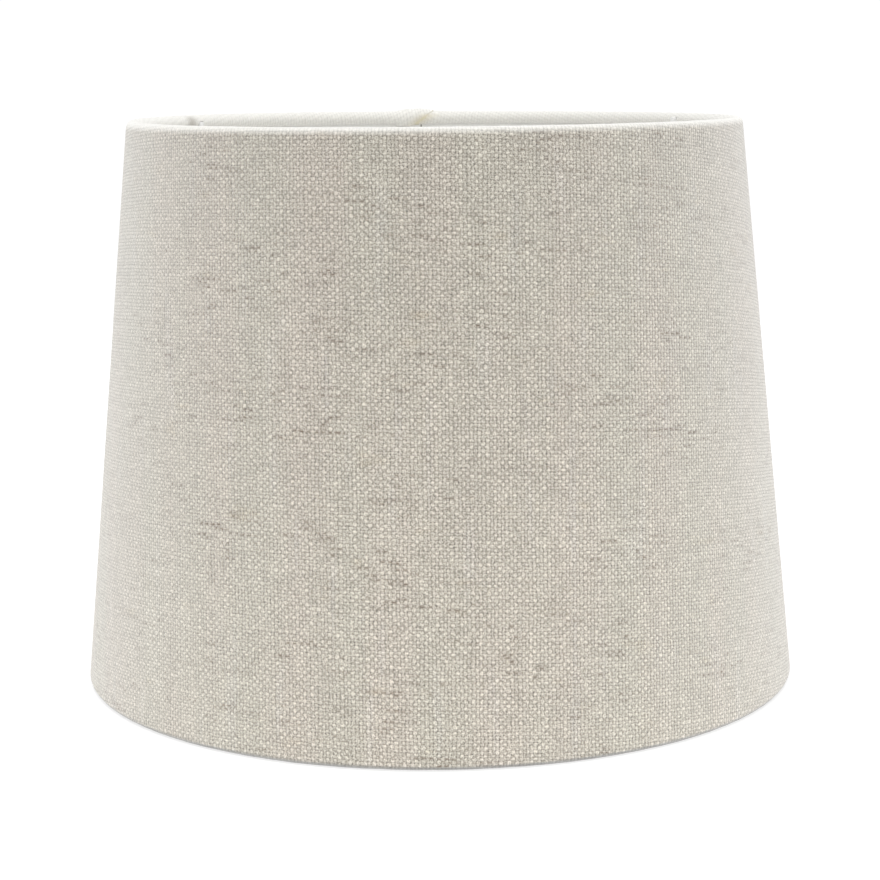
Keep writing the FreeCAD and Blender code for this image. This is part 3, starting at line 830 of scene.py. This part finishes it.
def arm_path():
    """Points and radius shares along one arm, in the plane of azimuth 0."""
    points, shares = [], []
    ends = [radians(a) for a in (0, 30, 60, 90)]
    small = 1 - CUT_ROUNDING / (ARM_WIRE / 2)
    for a in ends:
        points.append((leg_radius, leg_top - CUT_ROUNDING * (1 - cos(a))))
        shares.append(small + (1 - small) * sin(a))
    for drop in np.linspace(leg_top - 4 * MM, run_height + ARM_BEND, 5):
        points.append((leg_radius, drop))
        shares.append(1.0)
    for a in np.linspace(0, pi / 2, 13)[1:]:
        points.append((leg_radius - ARM_BEND * (1 - cos(a)), run_height + ARM_BEND * (1 - sin(a))))
        shares.append(1.0)
    for reach in np.linspace(leg_radius - ARM_BEND, run_end + 3 * MM, 9)[1:]:
        points.append((reach, run_height))
        shares.append(1.0)
    for a in reversed(ends):
        points.append((run_end + CUT_ROUNDING * (1 - cos(a)), run_height))
        shares.append(small + (1 - small) * sin(a))
    return points, shares


def make_arm(index, azimuth):
    points, shares = arm_path()
    mesh = bpy.data.meshes.new(f"arm_path_{index}")
    steps = [(k, k + 1) for k in range(len(points) - 1)]
    mesh.from_pydata([(r, 0.0, z) for r, z in points], steps, [])
    mesh.attributes.new("share", "FLOAT", "POINT").data.foreach_set("value", shares)
    arm = new_piece(f"arm_wire_{index}", mesh)
    return run_tree(arm, arm_tree, Wire=ARM_WIRE, Azimuth=radians(azimuth), Finish=ring_finish)


arms = [make_arm(index + 1, azimuth) for index, azimuth in enumerate(ARMS)]

# %% [markdown]
# ## Weld beads
# A spot of weld joins each arm to the top ring and to the fitter ring. Under the coat it is a soft,
# uneven blob. The tree sets a ball on each of six points, sized by the point's own number and turned at
# random from a fixed seed, and then pushes its surface in and out, so that no two are alike.

# %% The bead tree
def make_bead_tree():
    tree, given = new_tree("weld beads", Radius="Float", Lumps="Float", Seed="Int", Finish="Material")
    ball = add(tree, "GeometryNodeMeshIcoSphere", {"Radius": given["Radius"], "Subdivisions": 4})
    size = add(tree, "GeometryNodeInputNamedAttribute", {"Name": "size"}, data_type="FLOAT")
    turns = {0: (0, 0, 0), 1: (6.28, 6.28, 6.28)}
    spin = add(tree, "FunctionNodeRandomValue", turns, data_type="FLOAT_VECTOR")
    plug(tree, given["Seed"], spin.inputs["Seed"])
    scale = place(tree, *[size.outputs["Attribute"]] * 3)
    points = add(tree, "GeometryNodeMeshToPoints", {"Mesh": given["Geometry"]})
    beads = add(
        tree,
        "GeometryNodeInstanceOnPoints",
        {
            "Points": points.outputs[0],
            "Instance": ball.outputs["Mesh"],
            "Rotation": spin.outputs[0],
            "Scale": scale,
        },
    )
    real = add(tree, "GeometryNodeRealizeInstances", {"Geometry": beads.outputs[0]})
    spot = add(tree, "GeometryNodeInputPosition").outputs[0]
    lump = add(tree, "ShaderNodeTexNoise", {"Vector": spot, "Scale": 900.0, "Detail": 1.0}).outputs["Fac"]
    push = (Value(tree, lump) - 0.5) * Value(tree, given["Lumps"])
    outward = add(tree, "GeometryNodeInputNormal").outputs[0]
    offset = add(tree, "ShaderNodeVectorMath", {0: outward, "Scale": push}, operation="SCALE").outputs[0]
    lumpy = add(tree, "GeometryNodeSetPosition", {"Geometry": real.outputs[0], "Offset": offset})
    end_tree(tree, lumpy.outputs[0], given["Finish"])
    return tree


# %% The beads
RING_BEAD = 1.5  # millimetres in radius
FITTER_BEAD = 1.9
RING_BEAD_DROP = 0.7 * MM


def make_beads():
    spots, sizes = [], []
    for azimuth in ARMS:
        across = (cos(radians(azimuth)), sin(radians(azimuth)))
        at_ring = (leg_radius + top_ring_radius - ring_wire / 2 + ARM_WIRE / 2) / 2
        ring_spot = (at_ring, top_ring_height - RING_BEAD_DROP, RING_BEAD)
        for radius, height, size in (ring_spot, (run_end, run_height, FITTER_BEAD)):
            spots.append((radius * across[0], radius * across[1], height))
            sizes.append(size)
    mesh = bpy.data.meshes.new("bead_spots")
    mesh.from_pydata(spots, [], [])
    mesh.attributes.new("size", "FLOAT", "POINT").data.foreach_set("value", sizes)
    beads = new_piece("weld_spots", mesh)
    return run_tree(beads, make_bead_tree(), Radius=1 * MM, Lumps=0.9 * MM, Seed=5, Finish=weld_finish)


beads = make_beads()

# %% [markdown]
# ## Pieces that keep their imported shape
# The two rings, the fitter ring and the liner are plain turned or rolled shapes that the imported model
# already has right, so they only get their finish.

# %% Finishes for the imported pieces
def refinish(node, finish):
    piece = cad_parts[node]
    piece.data.materials.clear()
    piece.data.materials.append(finish)
    return piece


for node, finish in (
    ("top_ring", slit_shadow_ring_finish),
    ("bottom_ring", ring_finish),
    ("fitter_ring", plate_finish),
    ("backing_sheet", liner_finish),
):
    refinish(node, finish)

# %% [markdown]
# ## What each piece stands for
# Nothing on a shade moves, so every piece rides on the one body. The linen is cut as a sector from a
# rectangle and stretched over the rings; the sector's area and the rectangle's size are worked out here.

# %% Riding, replacing and the linen's cut
cloth_turn = radians(360 + LAP)
cloth_area = cloth_turn * (
    wall * (top_roll[0] + base_roll[0] + 2 * roll * cos(lean)) / 2 + rolled * (top_roll[0] + base_roll[0])
)
cut_reach = (base_roll[0] + roll) / sin(lean) + rolled
cut_width = 2 * cut_reach * sin(cloth_turn * sin(lean) / 2)
cut_length = cut_reach - (cut_reach - wall - 2 * rolled) * cos(cloth_turn * sin(lean) / 2)
print(f"linen: a sector of {cloth_area:.4f} m2, cut from {cut_width:.3f} by {cut_length:.3f} m")

stands_for = [
    (cover, ["fabric_cover"], "linen"),
    (tape, ["seam_tape"], "tape"),
    (beads, ["weld_beads"], "weld"),
] + [(arm, [f"spider_arm_{index + 1}"], "coated_wire") for index, arm in enumerate(arms)]
for piece, nodes, slot in stands_for:
    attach(piece, "root")
    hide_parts(*nodes)

# %% [markdown]
# ## Floor, light and camera
# The shade stands on a wide white floor under a white sky, as on a sweep in a studio. Broad soft lamps on
# both sides brighten its flanks, and one overhead fills the floor, so that it casts no shadow to speak of.

# %% The floor and the sky
FLOOR_RADIUS = 1.1
FLOOR_DROP = 0.2 * MM  # clear of the cloth's lowest lumps


def make_floor():
    turns = np.linspace(0, 2 * pi, 97)[:-1]
    rim = [(FLOOR_RADIUS * cos(turn), FLOOR_RADIUS * sin(turn), -FLOOR_DROP) for turn in turns]
    mesh = bpy.data.meshes.new("floor")
    mesh.from_pydata(rim, [], [range(len(rim))])
    finish, tree, shader = new_finish("pale floor", Roughness=0.95, Specular_IOR_Level=0.1)
    shader["Base Color"].default_value = (0.45, 0.45, 0.45, 1.0)
    shader["Emission Color"].default_value = (1.0, 1.0, 1.0, 1.0)
    shader["Emission Strength"].default_value = 0.64
    mesh.materials.append(finish)
    floor = new_piece("floor", mesh)
    return floor


def light_sky(front, back):
    """A white sky with another strength high up on the front side, where a studio has its soft box."""
    sky = bpy.data.worlds.new("white sky")
    sky.use_nodes = True
    tree = sky.node_tree
    background = tree.nodes["Background"]
    background.inputs["Color"].default_value = (1.0, 1.0, 1.0, 1.0)
    _, toward, up = parts(tree, add(tree, "ShaderNodeTexCoord").outputs["Generated"])
    box = (1.0 - toward.between(-0.9, 0.1)) * up.between(0.1, 0.25)
    plug(tree, box * (front - back) + back, background.inputs["Strength"])
    scene.world = sky


def add_lamp(name, size, power, spot, aim=(0.0, 0.0, 0.1)):
    """A square soft lamp that looks at a point."""
    light = bpy.data.lights.new(name, "AREA")
    light.size = size
    light.energy = power
    lamp = bpy.data.objects.new(name, light)
    away = np.array(spot) - np.array(aim)
    turn = Matrix.Rotation(atan2(away[1], away[0]), 4, "Z") @ Matrix.Rotation(
        atan2(hypot(away[0], away[1]), away[2]), 4, "Y"
    )
    lamp.matrix_world = Matrix.Translation(spot) @ turn
    scene.collection.objects.link(lamp)


make_floor()
light_sky(1.22, 1.04)
add_lamp("overhead", 0.8, 6.8, (0.0, -0.45, 1.8))
add_lamp("left side", 0.9, 1.1, (-1.2, -0.6, 0.3))
add_lamp("right side", 0.9, 2.0, (1.2, -0.6, 0.3))

# %% The camera
CAMERA_SPOT = (0.0, -0.7521, 0.212)
PITCH, TURN, TILT = 9.89, -0.06, -0.6
lens = bpy.data.cameras.new("camera")
lens.sensor_width = 36.0
lens.lens = 87.75
lens.clip_start = 0.05
camera = bpy.data.objects.new("camera", lens)
camera.matrix_world = (
    Matrix.Translation(CAMERA_SPOT)
    @ Matrix.Rotation(radians(TURN), 4, "Z")
    @ Matrix.Rotation(radians(90 - PITCH), 4, "X")
    @ Matrix.Rotation(radians(TILT), 4, "Z")
)
scene.collection.objects.link(camera)
scene.camera = camera
scene.view_settings.view_transform = "Standard"

# %% The end
bpy.context.view_layer.update()
